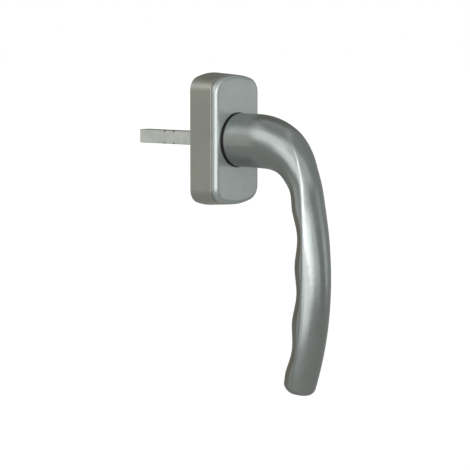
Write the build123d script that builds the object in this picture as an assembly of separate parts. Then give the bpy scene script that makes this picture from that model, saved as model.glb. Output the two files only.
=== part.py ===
from build123d import *
import math
import os

os.makedirs("parts", exist_ok=True)

# Driving dimensions in mm. The rear mounting face is Y = 0 and the spindle axis is the Y axis.
# The handle stands towards -Y, the spindle points towards +Y and the lever hangs towards -Z.
# A depth is a distance in front of the mounting face.

# Rosette: a deep rear body with a thin front cover
rosette_width = 36.4
rosette_height = 67.6
rosette_end_radius = 42.0
rosette_corner_radius = 7.0
base_depth = 12.8
base_front_wall = 3.0
base_side_wall = 2.6
base_draft = 4.0
base_edge_fillet = 0.25
cover_height = 3.4
cover_seam = 0.3
cover_inset = 0.15
cover_corner_growth = 1.6
cover_wall = 1.3
cover_thickness = 1.4
cover_edge_fillet = 2.3
cover_hole_chamfer = 0.25
cover_clearance = 0.1

# Fixing on the window: two countersunk M5 screws through support lugs
screw_spacing = 43.0
screw_hole_radius = 2.65
screw_head_radius = 5.1
screw_head_recess = 0.9
screw_sink_step = 0.4
lug_radius = 5.0
lug_height = 3.0
lug_chamfer = 0.5
boss_radius = 6.2
lug_root = 2.0
rib_thickness = 1.8
rib_rear = 1.0
mid_wall_thickness = 1.9

# Lever, measured along its spine from the cover's front
neck_radius = 13.5
neck_straight = 10.9
neck_chamfer = 0.5
bend_radius = 33.2
bend_angle = 76.4
grip_radius = 192.3
lever_length = 155.4
grip_half_width = 10.6
crease_radius = 1.2
crease_start = 36.0
crease_margin = 8.0
end_radius = 3.0
end_scale = 0.67
wave_height = 0.93
wave_pitch = 29.0
first_ridge = 61.3
wave_growth = 14.0

# Stub of the lever inside the rosette, with the spindle socket and the spring bore
stub_flat_depth = 1.5
stub_end_clearance = 0.3
stub_tail = 1.83
stub_root = 4.0
socket_clearance = 0.07
socket_length = 8.4
spring_space = 7.4

# Neck bush: a sleeve in the rear body, a shoulder under the cover and the visible collar
bush_clearance = 0.06
bush_sleeve_wall = 1.5
bush_shoulder_clearance = 0.6
collar_step = 0.15
collar_gap = 0.35
collar_height = 1.0
neck_gap = 0.05

# Detent: a cam with four notches between two bowed leaf springs
cam_rim = 2.5
cam_key_clearance = 0.03
cam_run_clearance = 0.08
notch_radius = 2.2
notch_offset = 1.1
leaf_space = 3.4
leaf_thickness = 0.6
leaf_width_margin = 0.5
leaf_clearance = 0.1
leaf_knee_offset = 1.0
leaf_knee_rise = 2.0
leaf_tip_gap = 0.25
leaf_tip_half = 0.45
pocket_clearance = 0.9
slot_half_length = 12.5
slot_wall = 0.9
washer_step = 0.3
washer_thickness = 0.42

# Retaining ring behind the cam
ring_groove_depth = 1.0
ring_groove_clearance = 0.03
ring_groove_relief = 0.05
ring_width = 2.6
ring_thickness = 1.1
ring_clearance = 0.07
ring_opening = 50.0
ring_ear_radius = 1.5
ring_ear_hole = 0.55
ring_ear_angle = 5.0
ring_ear_offset = 0.35

# Back plate and its screws
plate_rim = 2.3
plate_thickness = 1.2
plate_depth = 0.1
plate_seat_clearance = 0.05
plate_corner_radius = 2.0
plate_clearance = 0.1
plate_hole_clearance = 0.75
plate_screw_margin = 2.8
plate_screw_wall = 3.0
plate_screw_radius = 1.0
plate_screw_head = 2.0
plate_screw_head_height = 0.9
plate_screw_sunk = 0.08
plate_screw_length = 6.5
plate_screw_seat = 0.1
plate_screw_play = 0.15
plate_screw_thread_gap = 0.02
plate_screw_tip_gap = 0.6
cross_half_length = 1.1
cross_half_width = 0.25
cross_depth = 0.6

# Spindle, its cross pin and its spring
spindle_size = 7.0
spindle_reach = 48.3
spindle_travel = 13.0
spindle_chamfer = 0.9
spindle_corner = 0.25
spindle_tail = 3.1
spindle_tail_chamfer = 0.4
nick_depth = 0.5
nick_width = 1.1
nick_length = 4.0
nick_positions = (24.0, 30.4)
pin_radius = 1.0
pin_shoulder_gap = 0.3
pin_bore_gap = 0.5
pin_chamfer = 0.2
spring_bore_margin = 0.35
spring_wire = 0.8
spring_turns = 6.5
spring_end_gap = 0.05
spring_bore_gap = 1.3

# Room for the mechanism between the side walls of the rear body, from the outside inwards
plate_half_width = rosette_width / 2 - plate_rim - plate_clearance
slot_outer = plate_half_width - slot_wall
cam_radius = slot_outer - leaf_space
stub_radius = cam_radius - cam_rim

# Depths of the stack, worked out from both ends of the rear body: the cam takes what is left
cover_front = base_depth + cover_height
cover_rear = base_depth + cover_seam
neck_end = cover_front + collar_height + neck_gap
inner_front = base_depth - base_front_wall
bush_shoulder_front = cover_front - cover_thickness - cover_clearance
stub_end = plate_depth + plate_thickness + stub_end_clearance
ring_rear = stub_end + stub_tail
ring_front = ring_rear + ring_thickness
cam_rear = ring_front + ring_clearance
cam_front = inner_front - washer_thickness - cam_run_clearance
leaf_width = cam_front - cam_rear - leaf_width_margin
socket_end = stub_end + socket_length
pin_position = socket_end + pin_radius + pin_shoulder_gap
spindle_inner_end = pin_position + spindle_tail
spring_bore_end = spindle_inner_end + spindle_travel + spring_space

# Radii and half sizes that follow from their neighbours
bush_sleeve_radius = stub_radius + bush_sleeve_wall
base_front_inset = base_depth * math.tan(math.radians(base_draft))
cover_side_inset = base_front_inset + cover_inset
cover_corner_radius = rosette_corner_radius - base_front_inset + cover_corner_growth
cover_hollow_inset = cover_side_inset + cover_wall
bush_shoulder_radius = rosette_width / 2 - cover_hollow_inset - bush_shoulder_clearance
collar_radius = neck_radius - collar_step
cover_hole_radius = collar_radius + collar_gap
pocket_radius = cam_radius + pocket_clearance
washer_radius = cam_radius - washer_step
notch_centre = cam_radius + notch_offset
ring_inner_radius = stub_radius - ring_groove_depth
ring_outer_radius = ring_inner_radius + ring_width
plate_half_height = screw_spacing / 2 - boss_radius - 2 * plate_clearance
leaf_knee = cam_radius + leaf_knee_offset
slot_inner = leaf_knee - leaf_thickness / 2 - leaf_clearance * 4
leaf_seat = slot_outer - leaf_thickness / 2 - leaf_clearance
leaf_tip = notch_centre - notch_radius + leaf_thickness / 2 + leaf_tip_gap
plate_screw_x = slot_inner - plate_screw_wall
plate_screw_z = plate_half_height - plate_screw_margin
plate_hole_radius = spindle_size / math.sqrt(2) + plate_hole_clearance
spring_bore_radius = spindle_size / math.sqrt(2) + spring_bore_margin
pin_length = 2 * (spring_bore_radius - pin_bore_gap)
spring_radius = spring_bore_radius - spring_bore_gap - spring_wire / 2

# Lever shape: distance along the spine, depth on the outer side, depth on the inner side, and
# the centre of the crease's rounding, as half width and height above the spine
neck_crease_x = (neck_radius - crease_radius) * math.sin(math.radians(crease_start))
neck_crease_y = (neck_radius - crease_radius) * math.cos(math.radians(crease_start))
grip_crease_x = grip_half_width - crease_radius
lever_shape = [
    (0.0, neck_radius, neck_radius, neck_crease_x, neck_crease_y),
    (10.0, neck_radius, neck_radius, neck_crease_x, neck_crease_y),
    (21.0, 13.55, 12.8, 7.6, 10.3),
    (30.0, 12.5, 10.6, 6.35, 10.1),
    (38.0, 10.2, 8.5, 6.1, 8.3),
    (47.0, 7.9, 7.5, 7.0, 4.95),
    (60.0, 7.05, 6.65, 8.25, 3.1),
    (78.0, 7.5, 7.2, grip_crease_x, 1.7),
    (100.0, 7.8, 8.75, grip_crease_x, 0.05),
    (128.0, 7.1, 9.1, 9.15, -0.45),
    (lever_length, 5.85, 8.9, 8.0, -0.6),
]


def plane_at(depth):
    # A plane parallel to the window, depth mm in front of it, that extrudes towards the front
    return Plane(origin=(0, -depth, 0), x_dir=(1, 0, 0), z_dir=(0, -1, 0))


def disc(radius, rear, front, x=0.0, z=0.0):
    return extrude(plane_at(rear) * Pos(x, z) * Circle(radius), front - rear)


def block(half_x, half_z, rear, front, x=0.0, z=0.0):
    return extrude(plane_at(rear) * Pos(x, z) * Rectangle(2 * half_x, 2 * half_z), front - rear)


def rosette_outline(inset, corner_radius):
    # Straight sides, arched ends and rounded corners
    half_w = rosette_width / 2 - inset
    half_h = rosette_height / 2 - inset
    arc = rosette_end_radius - inset
    side = half_h - (arc - math.sqrt(arc * arc - half_w * half_w))
    top = ThreePointArc((-half_w, side), (0, half_h), (half_w, side))
    right = Line((half_w, side), (half_w, -side))
    bottom = ThreePointArc((half_w, -side), (0, -half_h), (-half_w, -side))
    left = Line((-half_w, -side), (-half_w, side))
    face = make_face(top + right + bottom + left)
    return fillet(face.vertices(), corner_radius)


def spine(distance):
    # Position and heading in degrees at a distance along the lever's spine
    straight = min(distance, neck_straight)
    y = -cover_front - straight
    z = 0.0
    heading = 0.0
    rest = distance - straight
    bend = math.radians(bend_angle)
    if rest > 0:
        turned = min(rest / bend_radius, bend)
        y -= bend_radius * math.sin(turned)
        z -= bend_radius * (1 - math.cos(turned))
        heading = turned
        rest -= turned * bend_radius
    if rest > 1e-9:
        turned = rest / grip_radius
        y -= grip_radius * (math.sin(heading + turned) - math.sin(heading))
        z -= grip_radius * (math.cos(heading) - math.cos(heading + turned))
        heading += turned
    return y, z, math.degrees(heading)


def shape_at(distance):
    # The four values between the rows of lever_shape, with smooth slopes at every row
    rows = lever_shape
    k = 0
    while k < len(rows) - 2 and distance > rows[k + 1][0]:
        k += 1
    a = rows[k]
    b = rows[k + 1]
    span = b[0] - a[0]
    t = (distance - a[0]) / span
    values = []
    for i in (1, 2, 3, 4):
        before = rows[max(k - 1, 0)]
        after = rows[min(k + 2, len(rows) - 1)]
        slope_a = (b[i] - before[i]) / (b[0] - before[0])
        slope_b = (after[i] - a[i]) / (after[0] - a[0])
        if k == 0 or a[i] == before[i]:
            slope_a = 0.0
        if k == 0:
            slope_b = 0.0
        h00 = 2 * t ** 3 - 3 * t ** 2 + 1
        h10 = t ** 3 - 2 * t ** 2 + t
        h01 = 3 * t ** 2 - 2 * t ** 3
        h11 = t ** 3 - t ** 2
        values.append(h00 * a[i] + h10 * span * slope_a + h01 * b[i] + h11 * span * slope_b)
    return values


def wave_at(distance):
    # Finger waves on the inner side, growing out of the bend
    growth = min(max((distance - first_ridge + wave_growth) / wave_growth, 0.0), 1.0)
    return growth * wave_height * math.cos(2 * math.pi * (distance - first_ridge) / wave_pitch)


def half_section(distance):
    # Normal angle to point on one half of the section: the outer arc, the crease and the inner arc
    outer, inner, crease_x, crease_y = shape_at(distance)
    inner += wave_at(distance)
    rise = outer - crease_y
    drop = inner + crease_y
    outer_radius = (crease_x ** 2 + rise ** 2 - crease_radius ** 2) / (2 * (rise - crease_radius))
    inner_radius = (crease_x ** 2 + drop ** 2 - crease_radius ** 2) / (2 * (drop - crease_radius))
    outer_angle = math.atan2(crease_x, crease_y - outer + outer_radius)
    inner_angle = math.atan2(crease_x, crease_y + inner - inner_radius)

    def point(angle):
        if angle <= outer_angle:
            centre = (0.0, outer - outer_radius, outer_radius)
        elif angle >= inner_angle:
            centre = (0.0, inner_radius - inner, inner_radius)
        else:
            centre = (crease_x, crease_y, crease_radius)
        return centre[0] + centre[2] * math.sin(angle), centre[1] + centre[2] * math.cos(angle)

    margin = math.radians(crease_margin)
    return point, outer_angle - margin, inner_angle + margin


def lever_section(distance, scale=1.0):
    # A wide arc on the outer and on the inner side, joined by the two rounded creases
    y, z, heading = spine(distance)
    t = math.radians(heading)
    plane = Plane(origin=(0, y, z), x_dir=(1, 0, 0), z_dir=(0, -math.cos(t), -math.sin(t)))
    point, first, last = half_section(distance)

    def place(spot, side):
        return plane.from_local_coords((side * spot[0] * scale, spot[1] * scale, 0))

    def heading_at(angle, side):
        ahead = plane.from_local_coords((side * math.cos(angle), -math.sin(angle), 0))
        return ahead - plane.origin

    steps = [first + k * (last - first) / 4 for k in range(5)]
    right = [place(point(angle), 1) for angle in steps]
    left = [place(point(angle), -1) for angle in steps]
    top = place(point(0.0), 1)
    under = place(point(math.pi), 1)
    edges = [
        Edge.make_three_point_arc(left[0], top, right[0]),
        Edge.make_spline(right, [heading_at(first, 1), heading_at(last, 1)]),
        Edge.make_three_point_arc(right[-1], under, left[-1]),
        Edge.make_spline(left, [heading_at(first, -1), heading_at(last, -1)]),
    ]
    return Wire(edges)


def lever_distances():
    # Section positions: the neck, the bend, then four to each finger wave
    places = [collar_height + neck_gap, (collar_height + neck_straight) / 2, neck_straight]
    bend_steps = 10
    for k in range(1, bend_steps):
        places.append(neck_straight + k * (first_ridge - neck_straight) / bend_steps)
    step = wave_pitch / 4
    place = first_ridge
    end_start = lever_length - end_radius
    while place < end_start - 0.4 * step:
        places.append(place)
        place += step
    places.append(end_start)
    return places


def lever_end():
    # Rounded rim of the lever's free end
    wires = []
    for angle in (0.0, 18.0, 36.0, 54.0, 72.0, 90.0):
        t = math.radians(angle)
        place = lever_length - end_radius * (1 - math.sin(t))
        wires.append(lever_section(place, 1 - (1 - end_scale) * (1 - math.cos(t))))
    return Solid.make_loft(wires)


def lever_shell():
    return Part() + Solid.make_loft([lever_section(d) for d in lever_distances()]) + lever_end()


def stub_profile(clearance=0.0):
    # Round stub with two flats that key the cam
    round_part = Circle(stub_radius + clearance)
    return round_part & Rectangle(2 * (stub_radius - stub_flat_depth + clearance), 4 * stub_radius)


def make_lever():
    # Casting with the neck, the bend and the grip in one piece, and the stub that enters the rosette
    lever = lever_shell()
    rim = lever.edges().filter_by(lambda e: abs(e.center().Y + neck_end) < 0.01)
    lever = chamfer(rim, neck_chamfer)
    shoulder = cam_front + cam_run_clearance
    lever += disc(stub_radius, shoulder, neck_end + stub_root)
    lever += extrude(plane_at(stub_end) * stub_profile(), shoulder + 1 - stub_end)
    groove_rear = ring_rear - ring_groove_clearance
    groove_front = ring_front + ring_groove_clearance
    groove = disc(stub_radius + 1, groove_rear, groove_front)
    lever -= groove - disc(ring_inner_radius - ring_groove_relief, groove_rear, groove_front)
    half_socket = spindle_size / 2 + socket_clearance
    lever -= block(half_socket, half_socket, stub_end - 1, socket_end + 0.5)
    lever -= disc(spring_bore_radius, socket_end, spring_bore_end)
    return lever


def make_base():
    # Die-cast rear body with draft: side walls, a front wall, two screw bosses with support lugs,
    # and pockets
    outline = rosette_outline(0, rosette_corner_radius)
    base = extrude(plane_at(0) * outline, base_depth, taper=base_draft)
    front_rim = base.faces().sort_by(Axis.Y)[0].edges()
    base = fillet(front_rim, base_edge_fillet)
    inner_corner = rosette_corner_radius - base_side_wall
    inner_outline = rosette_outline(base_side_wall, inner_corner)
    cavity = extrude(plane_at(-1) * inner_outline, inner_front + 1)
    mid_wall = plate_half_height + plate_clearance + mid_wall_thickness
    cavity -= block(rosette_width, mid_wall, -2, inner_front + 1)
    for side in (1, -1):
        z = side * screw_spacing / 2
        cavity -= disc(boss_radius, -2, inner_front + 1, 0, z)
        rib_z = z + side * boss_radius
        cavity -= block(rib_thickness / 2, boss_radius, rib_rear, inner_front + 1, 0, rib_z)
    base -= cavity
    base -= disc(pocket_radius, -1, inner_front)
    slot_half = (slot_outer - slot_inner) / 2
    slot_middle = (slot_outer + slot_inner) / 2
    for x in (slot_middle, -slot_middle):
        base -= block(slot_half, slot_half_length, -1, inner_front, x, 0)
    recess_x = plate_half_width + plate_clearance
    recess_z = plate_half_height + plate_clearance
    recess = plane_at(-1) * RectangleRounded(2 * recess_x, 2 * recess_z, plate_corner_radius)
    base -= extrude(recess, plate_depth + plate_thickness + plate_seat_clearance + 1)
    base -= disc(bush_sleeve_radius, inner_front - 1, base_depth + 1)
    for side in (1, -1):
        z = side * screw_spacing / 2
        base += disc(lug_radius, -lug_height, lug_root, 0, z)
        base -= disc(screw_hole_radius, -lug_height - 1, base_depth + 1, 0, z)
        base -= disc(screw_head_radius, base_depth - screw_head_recess, base_depth + 1, 0, z)
        sink = screw_head_radius - screw_sink_step - screw_hole_radius
        cone_plane = plane_at(base_depth - screw_head_recess - sink)
        cone_profile = cone_plane * Pos(0, z) * Circle(screw_hole_radius)
        base -= extrude(cone_profile, sink, taper=-45)
    for x in (plate_screw_x, -plate_screw_x):
        for z in (plate_screw_z, -plate_screw_z):
            bore_end = plate_screw_length + plate_screw_tip_gap
            base -= disc(plate_screw_radius + plate_screw_thread_gap, -1, bore_end, x, z)
    lug_rims = base.faces().sort_by(Axis.Y)[-2:].edges().filter_by(GeomType.CIRCLE)
    lug_rims = lug_rims.filter_by(lambda e: abs(e.radius - lug_radius) < 0.01)
    return chamfer(lug_rims, lug_chamfer)


def make_cover():
    # Thin cap with a large front edge radius, hollow behind, with a round hole for the neck
    outline = rosette_outline(cover_side_inset, cover_corner_radius)
    cover = extrude(plane_at(cover_rear) * outline, cover_front - cover_rear)
    front_rim = cover.faces().sort_by(Axis.Y)[0].edges()
    cover = fillet(front_rim, cover_edge_fillet)
    inner_outline = rosette_outline(cover_hollow_inset, cover_corner_radius - cover_wall)
    hollow_depth = cover_front - cover_thickness - cover_rear + 1
    cover -= extrude(plane_at(cover_rear - 1) * inner_outline, hollow_depth)
    cover -= disc(cover_hole_radius, cover_rear - 1, cover_front + 1)
    hole_rim = cover.faces().sort_by(Axis.Y)[0].edges().filter_by(GeomType.CIRCLE)
    hole_rim = hole_rim.filter_by(lambda e: abs(e.radius - cover_hole_radius) < 0.01)
    return chamfer(hole_rim, cover_hole_chamfer)


def make_neck_bush():
    # Plastic bush: sleeve in the rear body, shoulder behind the cover, collar between cover and neck
    bush = disc(bush_sleeve_radius, inner_front, base_depth)
    bush += disc(bush_shoulder_radius, base_depth, bush_shoulder_front)
    bush += disc(collar_radius, bush_shoulder_front, cover_front + collar_height)
    bush -= disc(stub_radius + bush_clearance, inner_front - 1, cover_front + 2)
    return bush


def make_friction_washer():
    # Thin ring between the front wall and the cam
    washer = disc(washer_radius, inner_front - washer_thickness, inner_front)
    return washer - disc(stub_radius + bush_clearance, 0, inner_front + 1)


def make_detent_cam():
    # Steel disc keyed to the stub, with a notch for every quarter turn
    cam = disc(cam_radius, cam_rear, cam_front)
    cam -= extrude(plane_at(cam_rear - 1) * stub_profile(cam_key_clearance), cam_front - cam_rear + 2)
    for x, z in ((notch_centre, 0), (0, notch_centre), (-notch_centre, 0), (0, -notch_centre)):
        cam -= disc(notch_radius, cam_rear - 1, cam_front + 1, x, z)
    return cam


def make_leaf_springs():
    # Two bowed strips whose middle bends into the cam's notches
    rear = (cam_front + cam_rear - leaf_width) / 2
    end = slot_half_length - leaf_clearance - leaf_thickness / 2
    solids = []
    for side in (1, -1):
        half = [(leaf_seat, end), (leaf_knee, notch_radius + leaf_knee_rise)]
        half += [(leaf_knee, notch_radius - leaf_clearance), (leaf_tip, leaf_tip_half)]
        line = half + [(x, -z) for x, z in reversed(half)]
        path = Polyline(*[(side * x, z) for x, z in line])
        strip = trace(path, leaf_thickness)
        solids.append(extrude(plane_at(rear) * strip, leaf_width))
    return Compound(children=solids)


def make_retaining_ring():
    # Open spring ring in the stub's groove, with an ear and a hole at each end
    ring = disc(ring_outer_radius, ring_rear, ring_front)
    ears = []
    for side in (1, -1):
        angle = math.radians(-90 + side * (ring_opening / 2 + ring_ear_angle))
        reach = (ring_inner_radius + ring_outer_radius) / 2 + ring_ear_offset
        x = reach * math.cos(angle)
        z = reach * math.sin(angle)
        ring += disc(ring_ear_radius, ring_rear, ring_front, x, z)
        ears.append((x, z))
    ring -= disc(ring_inner_radius, ring_rear - 1, ring_front + 1)
    half = math.radians(ring_opening / 2)
    far = 2 * ring_outer_radius
    right = (far * math.sin(half), -far * math.cos(half))
    left = (-right[0], right[1])
    wedge = Polyline((0, 0), right, left, close=True)
    ring -= extrude(plane_at(ring_rear - 1) * make_face(wedge), ring_thickness + 2)
    for x, z in ears:
        ring -= disc(ring_ear_hole, ring_rear - 1, ring_front + 1, x, z)
    return ring


def make_back_plate():
    # Sheet plate that closes the mechanism pocket, just below the mounting face
    outline = RectangleRounded(2 * plate_half_width, 2 * plate_half_height, plate_corner_radius)
    plate = extrude(plane_at(plate_depth) * outline, plate_thickness)
    plate -= disc(plate_hole_radius, -1, plate_thickness + 1)
    for x in (plate_screw_x, -plate_screw_x):
        for z in (plate_screw_z, -plate_screw_z):
            plate -= disc(plate_screw_radius + plate_screw_play, -1, plate_thickness + 1, x, z)
            sink = plane_at(plate_depth) * Pos(x, z) * Circle(plate_screw_head + plate_screw_seat)
            plate -= extrude(sink, plate_screw_head_height + plate_screw_sunk, taper=45)
    return plate


def make_plate_screws():
    # Four small countersunk screws with a cross slot
    head_rear = plate_depth + plate_screw_sunk
    screws = []
    for x in (plate_screw_x, -plate_screw_x):
        for z in (plate_screw_z, -plate_screw_z):
            rim = plane_at(head_rear) * Pos(x, z) * Circle(plate_screw_head)
            screw = extrude(rim, plate_screw_head_height, taper=45)
            screw += disc(plate_screw_radius, head_rear + 0.3, plate_screw_length, x, z)
            screw -= block(cross_half_length, cross_half_width, -1, cross_depth, x, z)
            screw -= block(cross_half_width, cross_half_length, -1, cross_depth, x, z)
            screws.append(screw)
    return Compound(children=screws)


def make_spindle():
    # Square steel bar with a chamfered end, nicks on its corners and a hole for the cross pin
    half = spindle_size / 2
    spindle = block(half, half, -spindle_reach, spindle_inner_end)
    ends = spindle.faces().sort_by(Axis.Y)
    spindle = chamfer(ends[-1].edges(), spindle_chamfer)
    long_edges = spindle.edges().filter_by(Axis.Y)
    spindle = chamfer(long_edges, spindle_corner)
    spindle = chamfer(spindle.faces().sort_by(Axis.Y)[0].edges(), spindle_tail_chamfer)
    for reach in nick_positions:
        for sx in (1, -1):
            for sz in (1, -1):
                corner = Pos(sx * half, reach, sz * half)
                nick = Rotation(0, 45 * sx * sz, 0) * Box(2 * nick_depth, nick_width, nick_length)
                spindle -= corner * nick
    pin_hole = Pos(0, -pin_position, 0) * Rotation(0, 90, 0) * Cylinder(pin_radius, 2 * spindle_size)
    return spindle - pin_hole


def make_spindle_pin():
    # Cross pin that keeps the spindle in the lever
    pin = Cylinder(pin_radius, pin_length)
    pin = chamfer(pin.edges().filter_by(GeomType.CIRCLE), pin_chamfer)
    return Pos(0, -pin_position, 0) * Rotation(0, 90, 0) * pin


def make_spindle_spring():
    # Compression spring between the spindle's inner end and the bottom of the bore
    rear = spindle_inner_end + spring_wire / 2 + spring_end_gap
    front = spring_bore_end - spring_wire / 2 - spring_end_gap
    length = front - rear
    helix = Helix(length / spring_turns, length, spring_radius)
    start = helix @ 0
    tangent = helix % 0
    profile = Plane(origin=start, z_dir=tangent) * Circle(spring_wire / 2)
    coil = sweep(profile, helix)
    coil = Rotation(90, 0, 0) * coil
    return Pos(0, -rear, 0) * coil


def save(name, shape):
    shape.label = name
    export_step(shape, "parts/" + name + ".step")


save("lever", make_lever())
save("base_body", make_base())
save("cover_plate", make_cover())
save("neck_bush", make_neck_bush())
save("friction_washer", make_friction_washer())
save("detent_cam", make_detent_cam())
save("leaf_springs", make_leaf_springs())
save("retaining_ring", make_retaining_ring())
save("back_plate", make_back_plate())
save("plate_screws", make_plate_screws())
save("spindle", make_spindle())
save("spindle_pin", make_spindle_pin())
save("spindle_spring", make_spindle_spring())
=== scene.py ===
"""Tilt and turn window handle: finishes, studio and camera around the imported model."""

import math

import bpy
from mathutils import Matrix, Quaternion, Vector


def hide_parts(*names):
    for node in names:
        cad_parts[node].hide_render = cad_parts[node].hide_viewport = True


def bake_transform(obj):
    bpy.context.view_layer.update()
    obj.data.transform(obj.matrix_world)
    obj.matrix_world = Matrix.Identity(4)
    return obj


bl_info = {
    "name": "Tilt and turn window handle",
    "version": (1, 0, 0),
    "blender": (4, 5, 0),
    "location": "View3D > Sidebar > Window handle",
    "description": "Finishes and studio for a tilt and turn window handle",
    "category": "Object",
}

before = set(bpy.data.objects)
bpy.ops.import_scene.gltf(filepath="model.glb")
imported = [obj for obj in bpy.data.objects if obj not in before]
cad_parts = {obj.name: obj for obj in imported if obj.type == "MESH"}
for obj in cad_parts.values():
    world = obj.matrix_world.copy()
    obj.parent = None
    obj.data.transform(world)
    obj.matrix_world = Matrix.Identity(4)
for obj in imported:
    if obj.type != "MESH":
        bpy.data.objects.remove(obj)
bpy.context.view_layer.update()

MM = 0.001

# Features of the finishes, per metre
CLOUDS = 28.0
MOTTLES = 160.0
BRUSH_LINES = 700.0
FLOW_MARKS = 90.0
SHEEN_SPOTS = 900.0
DRAWING_LINES = 900.0
STAINS = 120.0
SPARKS = 1.0 / (0.28 * MM)
PITS = 1.0 / (0.35 * MM)

# How far the fine lines are drawn out along each axis: 1 is not at all, less is longer
BRUSHED_LEVER = (1.0, 1.0, 0.12)
BRUSHED_COVER = (1.0, 1.0, 0.25)
DRAWN_DOWN = (1.0, 1.0, 0.15)
DRAWN_ALONG = (1.0, 0.10, 1.0)

# Colours of the small pieces
WASHER_COLOUR = (0.62, 0.60, 0.54)
BLUED = (0.16, 0.16, 0.18)
BLUED_STAIN = (0.11, 0.10, 0.12)
PHOSPHATE = (0.07, 0.07, 0.072)
PHOSPHATE_STAIN = (0.045, 0.044, 0.04)
SCREW_STAIN = (0.50, 0.50, 0.44)
SPINDLE_STAIN = (0.56, 0.59, 0.58)

PLASTIC_IOR = 1.48

# Merging a copy of a CAD mesh
MERGE_DISTANCE = 0.001 * MM
SMOOTH_ANGLE = math.radians(40.0)

# Noise textures keep nearly all of their values between these two
NOISE_LOW = 0.3
NOISE_HIGH = 0.7

# A stain starts where its noise passes the first, and is full at the second
STAIN_LOW = 0.38
STAIN_HIGH = 0.68

# Studio
MIDDLE = Vector((0.0, -0.035, -0.05))   # what the lamps and cards are aimed at
SENSOR_WIDTH = 36.0
ROOM_LEVEL = 0.42           # light from all round, where 1 is the white of the background
FLOOR_GLOW = 0.66           # brings the lit floor up to the white of the background
FLOOR_WIDTH = 40.0
FLOOR_PATCHES = 3.0         # per metre
FLOOR_PALE = (0.80, 0.80, 0.80)
FLOOR_PALER = (0.83, 0.83, 0.83)
CARD_MARGIN = 1.25          # a card's full size over its even part
CARD_SOFT_EDGE = 0.2        # share of the card over which it fades out

# Lamps: name, turn, rise, width, height, share of the main lamp's brightness, roll.
# They stand a metre away. Turn is in degrees to the camera's right and rise above the horizon.
LAMPS = (
    ("key", 22.0, 17.0, 0.66, 1.00, 0.50, -35.0),
    ("key_core", 13.0, 13.0, 0.36, 0.72, 0.65, -35.0),
    ("key_low", -22.0, 0.0, 0.72, 0.85, 0.24, 0.0),
    ("key_foot", -4.0, -14.0, 0.62, 0.27, 0.36, 0.0),
    ("fill", -45.0, 36.0, 1.00, 0.60, 0.2333, 0.0),
)
LAMP_DISTANCE = 1.0

# Cards: name, turn, rise, distance, width, height, colour
CARDS = (
    ("card_right", 76.0, 0.0, 1.40, 0.80, 0.90, (0.25, 0.27, 0.26)),
    ("card_right_back", 130.0, 15.0, 1.50, 1.00, 2.10, (0.36, 0.38, 0.36)),
    ("card_right_high", 103.0, 33.0, 1.45, 0.55, 1.30, (0.40, 0.42, 0.40)),
    ("card_above", 0.0, 86.0, 1.30, 1.30, 1.30, (0.45, 0.46, 0.46)),
    ("card_back", 180.0, 15.0, 1.60, 2.00, 3.60, (0.20, 0.19, 0.17)),
    ("card_back_left", -128.0, 10.0, 1.60, 1.50, 3.60, (0.26, 0.22, 0.16)),
    ("card_left", -80.0, 4.0, 1.40, 0.64, 1.10, (0.66, 0.65, 0.58)),
    ("card_left_low", -61.0, -15.0, 1.30, 0.62, 1.20, (0.36, 0.38, 0.37)),
    ("card_low_left", -104.0, -38.0, 1.20, 1.35, 0.86, (0.20, 0.18, 0.14)),
)
CARD_BELOW_WIDTH = 4.6
CARD_BELOW_LIFT = 0.02
CARD_BELOW_COLOUR = (0.36, 0.36, 0.34)


# Sizes and colours that a user would change

class FinishSettings(bpy.types.PropertyGroup):
    """Colours and grain of the handle's surfaces"""

    aluminium_colour: bpy.props.FloatVectorProperty(
        name="Aluminium colour",
        description="Colour of the satin anodised lever, cover and body",
        subtype="COLOR",
        size=3,
        min=0.0,
        max=1.0,
        default=(0.323, 0.351, 0.345),
    )
    aluminium_roughness: bpy.props.FloatProperty(
        name="Aluminium roughness",
        description="Middle roughness of the satin surface",
        default=0.25,
        min=0.0,
        max=1.0,
        subtype="FACTOR",
    )
    aluminium_gleam: bpy.props.FloatProperty(
        name="Aluminium gleam",
        description="Share of the light that the anodised skin mirrors; the rest is scattered",
        default=0.88,
        min=0.0,
        max=1.0,
        subtype="FACTOR",
    )
    grain_size: bpy.props.FloatProperty(
        name="Grain size",
        description="Width of one grain of the satin surface",
        default=0.22 * MM,
        min=0.02 * MM,
        max=2.0 * MM,
        unit="LENGTH",
    )
    plastic_colour: bpy.props.FloatVectorProperty(
        name="Bush colour",
        description="Colour of the plastic bush round the neck",
        subtype="COLOR",
        size=3,
        min=0.0,
        max=1.0,
        default=(0.012, 0.012, 0.013),
    )
    zinc_colour: bpy.props.FloatVectorProperty(
        name="Zinc colour",
        description="Colour of the zinc-plated spindle, screws and plate",
        subtype="COLOR",
        size=3,
        min=0.0,
        max=1.0,
        default=(0.68, 0.72, 0.71),
    )
    steel_colour: bpy.props.FloatVectorProperty(
        name="Bare steel colour",
        description="Colour of the cam, the springs and the pin",
        subtype="COLOR",
        size=3,
        min=0.0,
        max=1.0,
        default=(0.30, 0.29, 0.275),
    )


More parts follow.
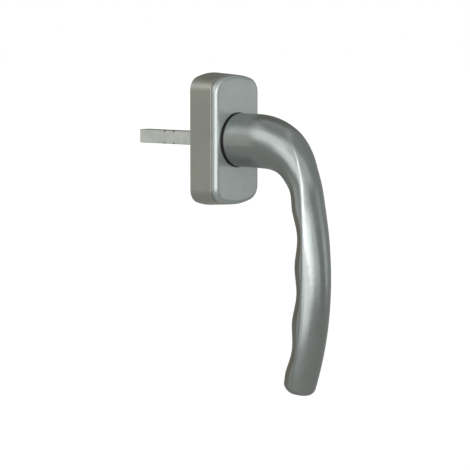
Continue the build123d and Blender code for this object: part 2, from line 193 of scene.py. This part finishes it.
class StudioSettings(bpy.types.PropertyGroup):
    """Camera, lamps and floor"""

    camera_azimuth: bpy.props.FloatProperty(
        name="Camera azimuth",
        description="Angle of the camera round the spindle side of the handle",
        default=math.radians(-50.37),
        subtype="ANGLE",
    )
    camera_elevation: bpy.props.FloatProperty(
        name="Camera elevation",
        description="Angle of the camera above the horizon",
        default=math.radians(6.0),
        subtype="ANGLE",
    )
    camera_distance: bpy.props.FloatProperty(
        name="Camera distance",
        description="Distance of the camera from the spindle axis at the mounting face",
        default=1.0,
        min=0.2,
        unit="LENGTH",
    )
    camera_lens: bpy.props.FloatProperty(
        name="Camera lens",
        description="Focal length",
        default=150.05,
        min=20.0,
        unit="CAMERA",
    )
    aim_across: bpy.props.FloatProperty(
        name="Aim across",
        description="How far the camera stands to the right of the origin, in its own picture plane",
        default=10.95 * MM,
        unit="LENGTH",
    )
    aim_up: bpy.props.FloatProperty(
        name="Aim up",
        description="How far the camera stands above the origin, in its own picture plane",
        default=-49.15 * MM,
        unit="LENGTH",
    )
    floor_height: bpy.props.FloatProperty(
        name="Floor height",
        description="Height of the floor below the spindle axis",
        default=-0.45,
        unit="LENGTH",
    )
    key_radiance: bpy.props.FloatProperty(
        name="Main lamp brightness",
        description="Brightness of the main soft lamp, where 1 is the white of the background",
        default=3.0,
        min=0.0,
    )


# Node helpers

def new_material(name):
    material = bpy.data.materials.new(name)
    material.use_nodes = True
    tree = material.node_tree
    shader = tree.nodes["Principled BSDF"]
    return material, tree, shader


def object_coordinates(tree):
    return tree.nodes.new("ShaderNodeTexCoord").outputs["Object"]


def stretched(tree, vector, scale):
    mapping = tree.nodes.new("ShaderNodeMapping")
    mapping.inputs["Scale"].default_value = scale
    tree.links.new(vector, mapping.inputs["Vector"])
    return mapping.outputs["Vector"]


def noise(tree, vector, scale, detail=2.0, roughness=0.5):
    node = tree.nodes.new("ShaderNodeTexNoise")
    node.inputs["Scale"].default_value = scale
    node.inputs["Detail"].default_value = detail
    node.inputs["Roughness"].default_value = roughness
    tree.links.new(vector, node.inputs["Vector"])
    return node.outputs["Fac"]


def remap(tree, value, low, high, new_low, new_high):
    node = tree.nodes.new("ShaderNodeMapRange")
    node.clamp = True
    node.inputs["From Min"].default_value = low
    node.inputs["From Max"].default_value = high
    node.inputs["To Min"].default_value = new_low
    node.inputs["To Max"].default_value = new_high
    tree.links.new(value, node.inputs["Value"])
    return node.outputs["Result"]


def spread(tree, value, new_low, new_high):
    """Spread a noise over the range from new_low to new_high"""
    return remap(tree, value, NOISE_LOW, NOISE_HIGH, new_low, new_high)


def combine(tree, a, b, operation="ADD"):
    node = tree.nodes.new("ShaderNodeMath")
    node.operation = operation
    for socket, value in zip(node.inputs, (a, b)):
        if isinstance(value, (int, float)):
            socket.default_value = value
        else:
            tree.links.new(value, socket)
    return node.outputs["Value"]


def share_out(tree, a, b, share):
    """The given share of a, and the rest of b"""
    return combine(
        tree, combine(tree, a, share, "MULTIPLY"), combine(tree, b, 1.0 - share, "MULTIPLY")
    )


def tint(tree, factor, colour_a, colour_b):
    node = tree.nodes.new("ShaderNodeMix")
    node.data_type = "RGBA"
    node.inputs["A"].default_value = (*colour_a, 1.0)
    node.inputs["B"].default_value = (*colour_b, 1.0)
    tree.links.new(factor, node.inputs["Factor"])
    return node.outputs["Result"]


def bump(tree, height, distance, strength, below=None):
    node = tree.nodes.new("ShaderNodeBump")
    node.inputs["Strength"].default_value = strength
    node.inputs["Distance"].default_value = distance
    tree.links.new(height, node.inputs["Height"])
    if below is not None:
        tree.links.new(below, node.inputs["Normal"])
    return node.outputs["Normal"]


def shade(colour, factor):
    return tuple(min(1.0, c * factor) for c in colour)


# Finishes

def satin_aluminium(name, finish, colour, roughness, streak=(1.0, 1.0, 1.0), gleam=1.0):
    """Anodised casting: fine even grain, faint brushing below it and slow clouds in the gloss"""
    material, tree, shader = new_material(name)
    place = object_coordinates(tree)
    clouds = noise(tree, place, CLOUDS, 3.0)
    mottle = noise(tree, place, MOTTLES, 2.0)
    lines = noise(tree, stretched(tree, place, streak), BRUSH_LINES, 3.0, 0.6)
    grains = noise(tree, place, 1.0 / finish.grain_size, 2.0, 0.6)
    shader.inputs["Metallic"].default_value = finish.aluminium_gleam * gleam
    tone = spread(tree, share_out(tree, clouds, mottle, 0.6), 0.0, 1.0)
    mixed = tint(tree, tone, shade(colour, 0.93), shade(colour, 1.06))
    tree.links.new(mixed, shader.inputs["Base Color"])
    gloss = share_out(tree, lines, clouds, 0.5)
    tree.links.new(
        spread(tree, gloss, roughness - 0.045, roughness + 0.05), shader.inputs["Roughness"]
    )
    fine = bump(tree, grains, 0.02 * MM, 0.30)
    tree.links.new(bump(tree, lines, 0.012 * MM, 0.35, fine), shader.inputs["Normal"])
    return material


def moulded_plastic(name, colour, roughness):
    """Fine sparked mould texture with a little flow variation"""
    material, tree, shader = new_material(name)
    place = object_coordinates(tree)
    sparks = noise(tree, place, SPARKS, 2.0, 0.6)
    flow = spread(tree, noise(tree, place, FLOW_MARKS, 2.0), 0.0, 1.0)
    sheen = noise(tree, place, SHEEN_SPOTS, 2.0)
    mixed = tint(tree, flow, shade(colour, 0.8), shade(colour, 1.25))
    tree.links.new(mixed, shader.inputs["Base Color"])
    tree.links.new(
        spread(tree, sheen, roughness - 0.06, roughness + 0.08), shader.inputs["Roughness"]
    )
    tree.links.new(bump(tree, sparks, 0.03 * MM, 0.35), shader.inputs["Normal"])
    shader.inputs["IOR"].default_value = PLASTIC_IOR
    return material


def plated_steel(name, colour, roughness, stain, streak=(1.0, 1.0, 1.0)):
    """Rolled or drawn steel with its plating: faint drawing lines, soft stains and small pits"""
    material, tree, shader = new_material(name)
    place = object_coordinates(tree)
    drawn = noise(tree, stretched(tree, place, streak), DRAWING_LINES, 3.0, 0.65)
    stains = noise(tree, place, STAINS, 4.0, 0.55)
    pits = noise(tree, place, PITS, 1.0)
    shader.inputs["Metallic"].default_value = 1.0
    mixed = tint(tree, remap(tree, stains, STAIN_LOW, STAIN_HIGH, 0.0, 1.0), colour, stain)
    tree.links.new(mixed, shader.inputs["Base Color"])
    gloss = share_out(tree, drawn, stains, 0.6)
    tree.links.new(
        spread(tree, gloss, roughness - 0.07, roughness + 0.09), shader.inputs["Roughness"]
    )
    small = bump(tree, pits, 0.02 * MM, 0.25)
    tree.links.new(bump(tree, drawn, 0.02 * MM, 0.35, small), shader.inputs["Normal"])
    return material


def give(piece, material):
    for slot in piece.material_slots:
        slot.material = material


def give_node(node_name, material):
    give(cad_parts[node_name], material)


def coil_between(node_name, material):
    """Stand a merged copy in for a coil spring that sits between two bodies, and hide the CAD node;
    the copy keeps its shape
    """
    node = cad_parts[node_name]
    bpy.ops.object.select_all(action="DESELECT")
    coil = bpy.data.objects.new(node_name + "_coil", node.data.copy())
    bpy.context.collection.objects.link(coil)
    coil.select_set(True)
    bpy.context.view_layer.objects.active = coil
    bpy.ops.object.mode_set(mode="EDIT")
    bpy.ops.mesh.select_all(action="SELECT")
    bpy.ops.mesh.remove_doubles(threshold=MERGE_DISTANCE)
    bpy.ops.object.mode_set(mode="OBJECT")
    bpy.ops.object.shade_smooth_by_angle(angle=SMOOTH_ANGLE)
    give(coil, material)
    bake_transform(coil)
    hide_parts(node_name)


# Operators, one for each piece or group of like pieces

class HANDLE_OT_lever(bpy.types.Operator):
    """Give the lever its satin anodised finish, brushed along the grip"""

    bl_idname = "handle.lever"
    bl_label = "Lever"

    def execute(self, context):
        finish = context.scene.handle_finish
        material = satin_aluminium(
            "lever_satin",
            finish,
            tuple(finish.aluminium_colour),
            finish.aluminium_roughness,
            streak=BRUSHED_LEVER,
        )
        give_node("lever", material)
        return {"FINISHED"}


class HANDLE_OT_rosette(bpy.types.Operator):
    """Give the cover and the rear body the satin aluminium finish, with painted light: the cover's
    colour is a lightened copy and the body's a warmed copy
    """

    bl_idname = "handle.rosette"
    bl_label = "Rosette"

    def execute(self, context):
        finish = context.scene.handle_finish
        colour = tuple(finish.aluminium_colour)
        # painted light: the cover's colour is the shared aluminium colour made 1.24 times lighter
        cover = satin_aluminium(
            "cover_satin_painted_light",
            finish,
            shade(colour, 1.24),
            finish.aluminium_roughness + 0.06,
            streak=BRUSHED_COVER,
            gleam=0.7,
        )
        give_node("cover_plate", cover)
        # painted reflection: the body's colour is the shared aluminium colour warmed, standing in for
        # the warm surroundings its sides mirror
        body = satin_aluminium(
            "body_satin_painted_reflection",
            finish,
            (colour[0] * 1.04, colour[1] * 0.98, colour[2] * 0.895),
            finish.aluminium_roughness + 0.06,
            gleam=0.8,
        )
        give_node("base_body", body)
        return {"FINISHED"}


class HANDLE_OT_plastics(bpy.types.Operator):
    """Give the neck bush and the friction washer their moulded finish"""

    bl_idname = "handle.plastics"
    bl_label = "Bush and washer"

    def execute(self, context):
        finish = context.scene.handle_finish
        give_node("neck_bush", moulded_plastic("bush_black", tuple(finish.plastic_colour), 0.42))
        give_node("friction_washer", moulded_plastic("washer_natural", WASHER_COLOUR, 0.38))
        return {"FINISHED"}


class HANDLE_OT_detent(bpy.types.Operator):
    """Give the cam, the leaf springs and the retaining ring their steel finishes"""

    bl_idname = "handle.detent"
    bl_label = "Detent"

    def execute(self, context):
        steel = tuple(context.scene.handle_finish.steel_colour)
        give_node("detent_cam", plated_steel("cam_sintered", steel, 0.45, shade(steel, 0.7)))
        give_node("leaf_springs", plated_steel("spring_blued", BLUED, 0.30, BLUED_STAIN))
        give_node("retaining_ring", plated_steel("ring_phosphate", PHOSPHATE, 0.55, PHOSPHATE_STAIN))
        return {"FINISHED"}


class HANDLE_OT_back(bpy.types.Operator):
    """Give the back plate and its screws their zinc finish"""

    bl_idname = "handle.back"
    bl_label = "Back plate"

    def execute(self, context):
        zinc = tuple(context.scene.handle_finish.zinc_colour)
        give_node("back_plate", plated_steel("plate_zinc", zinc, 0.36, shade(zinc, 0.82), DRAWN_DOWN))
        give_node("plate_screws", plated_steel("screw_zinc", shade(zinc, 1.05), 0.30, SCREW_STAIN))
        return {"FINISHED"}


class HANDLE_OT_spindle(bpy.types.Operator):
    """Give the spindle, its pin and its spring their finishes"""

    bl_idname = "handle.spindle"
    bl_label = "Spindle"

    def execute(self, context):
        finish = context.scene.handle_finish
        zinc = tuple(finish.zinc_colour)
        steel = tuple(finish.steel_colour)
        give_node("spindle", plated_steel("spindle_zinc", zinc, 0.34, SPINDLE_STAIN, DRAWN_ALONG))
        give_node("spindle_pin", plated_steel("pin_steel", shade(steel, 1.3), 0.28, steel))
        wire = plated_steel("coil_wire", shade(steel, 1.1), 0.30, shade(steel, 0.8))
        coil_between("spindle_spring", wire)
        return {"FINISHED"}


# Stage

def camera_axes(azimuth, elevation):
    back = Vector((
        math.sin(azimuth) * math.cos(elevation),
        -math.cos(azimuth) * math.cos(elevation),
        math.sin(elevation),
    ))
    right = Vector((math.cos(azimuth), math.sin(azimuth), 0.0))
    return right, back.cross(right), back


def light_path_white(tree):
    """1 for camera, glossy and transmission rays, and 0 for the rest"""
    path = tree.nodes.new("ShaderNodeLightPath")
    seen = combine(tree, path.outputs["Is Camera Ray"], path.outputs["Is Glossy Ray"], "MAXIMUM")
    return combine(tree, seen, path.outputs["Is Transmission Ray"], "MAXIMUM")


def make_world(level):
    world = bpy.data.worlds.new("studio")
    world.use_nodes = True
    tree = world.node_tree
    background = tree.nodes["Background"]
    background.inputs["Color"].default_value = (1.0, 1.0, 1.0, 1.0)
    strength = remap(tree, light_path_white(tree), 0.0, 1.0, level, 1.0)
    tree.links.new(strength, background.inputs["Strength"])
    bpy.context.scene.world = world


def make_floor(height):
    bpy.ops.mesh.primitive_plane_add(size=FLOOR_WIDTH, location=(0.0, 0.0, height))
    floor = bpy.context.object
    floor.name = "floor"
    material, tree, shader = new_material("floor_pale")
    place = object_coordinates(tree)
    shader.inputs["Roughness"].default_value = 0.9
    tone = tint(tree, noise(tree, place, FLOOR_PATCHES, 2.0), FLOOR_PALE, FLOOR_PALER)
    tree.links.new(tone, shader.inputs["Base Color"])
    shader.inputs["Emission Color"].default_value = (1.0, 1.0, 1.0, 1.0)
    glow = remap(tree, light_path_white(tree), 0.0, 1.0, 0.0, FLOOR_GLOW)
    tree.links.new(glow, shader.inputs["Emission Strength"])
    floor.data.materials.append(material)


def facing_middle(origin, roll=0.0):
    """Turn a lamp or a card at origin to face the handle, and roll it in its own plane"""
    own_roll = Quaternion((0.0, 0.0, 1.0), math.radians(roll))
    return (origin - MIDDLE).to_track_quat("Z", "Y") @ own_roll


def soft_lamp(name, origin, width, height, radiance, roll):
    data = bpy.data.lights.new(name, "AREA")
    data.shape = "RECTANGLE"
    data.size = width
    data.size_y = height
    data.energy = radiance * math.pi * width * height
    lamp = bpy.data.objects.new(name, data)
    lamp.location = origin
    lamp.rotation_mode = "QUATERNION"
    lamp.rotation_quaternion = facing_middle(origin, roll)
    bpy.context.collection.objects.link(lamp)


def grey_card(name, origin, width, height, colour):
    """A matt card with a soft edge that only the metal's reflections show"""
    bpy.ops.mesh.primitive_plane_add(size=1.0)
    card = bpy.context.object
    card.name = name
    card.scale = (width * CARD_MARGIN, height * CARD_MARGIN, 1.0)
    card.location = origin
    card.rotation_mode = "QUATERNION"
    card.rotation_quaternion = facing_middle(origin)
    material = bpy.data.materials.new(name)
    material.use_nodes = True
    tree = material.node_tree
    tree.nodes.remove(tree.nodes["Principled BSDF"])
    glow = tree.nodes.new("ShaderNodeEmission")
    glow.inputs["Color"].default_value = (*colour, 1.0)
    split = tree.nodes.new("ShaderNodeSeparateXYZ")
    tree.links.new(object_coordinates(tree), split.inputs["Vector"])
    across = combine(tree, split.outputs["X"], 0.0, "ABSOLUTE")
    along = combine(tree, split.outputs["Y"], 0.0, "ABSOLUTE")
    edge = combine(tree, across, along, "MAXIMUM")
    soft_edge = tree.nodes.new("ShaderNodeMixShader")
    tree.links.new(remap(tree, edge, 0.5 - CARD_SOFT_EDGE, 0.5, 1.0, 0.0), soft_edge.inputs["Fac"])
    tree.links.new(tree.nodes.new("ShaderNodeBsdfTransparent").outputs["BSDF"], soft_edge.inputs[1])
    tree.links.new(glow.outputs["Emission"], soft_edge.inputs[2])
    tree.links.new(soft_edge.outputs["Shader"], tree.nodes["Material Output"].inputs["Surface"])
    card.data.materials.append(material)
    card.visible_camera = False
    card.visible_diffuse = False
    card.visible_shadow = False


class HANDLE_OT_stage(bpy.types.Operator):
    """Set the floor, the lamps, the cards and the camera"""

    bl_idname = "handle.stage"
    bl_label = "Stage"

    def execute(self, context):
        studio = context.scene.handle_studio
        right, up, back = camera_axes(studio.camera_azimuth, studio.camera_elevation)
        data = bpy.data.cameras.new("camera")
        data.lens = studio.camera_lens
        data.sensor_width = SENSOR_WIDTH
        camera = bpy.data.objects.new("camera", data)
        camera.matrix_world = Matrix.Translation(
            right * studio.aim_across + up * studio.aim_up + back * studio.camera_distance
        ) @ Matrix((right, up, back)).transposed().to_4x4()
        context.collection.objects.link(camera)
        context.scene.camera = camera

        make_world(ROOM_LEVEL)
        make_floor(studio.floor_height)
        level_back = Vector((back.x, back.y, 0.0)).normalized()

        def around(turn, rise, distance):
            """A place seen from the handle: turn to the camera's right, rise above the horizon"""
            a = math.radians(turn)
            e = math.radians(rise)
            level = level_back * math.cos(a) + right * math.sin(a)
            return MIDDLE + (level * math.cos(e) + Vector((0.0, 0.0, math.sin(e)))) * distance

        for name, turn, rise, width, height, share, roll in LAMPS:
            origin = around(turn, rise, LAMP_DISTANCE)
            soft_lamp(name, origin, width, height, share * studio.key_radiance, roll)
        for name, turn, rise, distance, width, height, colour in CARDS:
            grey_card(name, around(turn, rise, distance), width, height, colour)
        under = Vector((MIDDLE.x, MIDDLE.y, studio.floor_height + CARD_BELOW_LIFT))
        grey_card("card_below", under, CARD_BELOW_WIDTH, CARD_BELOW_WIDTH, CARD_BELOW_COLOUR)
        context.scene.view_settings.view_transform = "Standard"
        return {"FINISHED"}


class HANDLE_PT_panel(bpy.types.Panel):
    """The handle's finishes and studio"""

    bl_idname = "HANDLE_PT_panel"
    bl_label = "Window handle"
    bl_space_type = "VIEW_3D"
    bl_region_type = "UI"
    bl_category = "Window handle"

    def draw(self, context):
        layout = self.layout
        finish = context.scene.handle_finish
        studio = context.scene.handle_studio
        for name in finish.__annotations__:
            layout.prop(finish, name)
        for name in studio.__annotations__:
            layout.prop(studio, name)
        for operator in OPERATORS:
            layout.operator(operator.bl_idname)


OPERATORS = (
    HANDLE_OT_lever,
    HANDLE_OT_rosette,
    HANDLE_OT_plastics,
    HANDLE_OT_detent,
    HANDLE_OT_back,
    HANDLE_OT_spindle,
    HANDLE_OT_stage,
)

CLASSES = (FinishSettings, StudioSettings, *OPERATORS, HANDLE_PT_panel)


def register():
    for cls in CLASSES:
        bpy.utils.register_class(cls)
    bpy.types.Scene.handle_finish = bpy.props.PointerProperty(type=FinishSettings)
    bpy.types.Scene.handle_studio = bpy.props.PointerProperty(type=StudioSettings)


def unregister():
    del bpy.types.Scene.handle_studio
    del bpy.types.Scene.handle_finish
    for cls in reversed(CLASSES):
        bpy.utils.unregister_class(cls)


def main():
    register()
    bpy.ops.handle.lever()
    bpy.ops.handle.rosette()
    bpy.ops.handle.plastics()
    bpy.ops.handle.detent()
    bpy.ops.handle.back()
    bpy.ops.handle.spindle()
    bpy.ops.handle.stage()


if __name__ == "__main__":
    main()
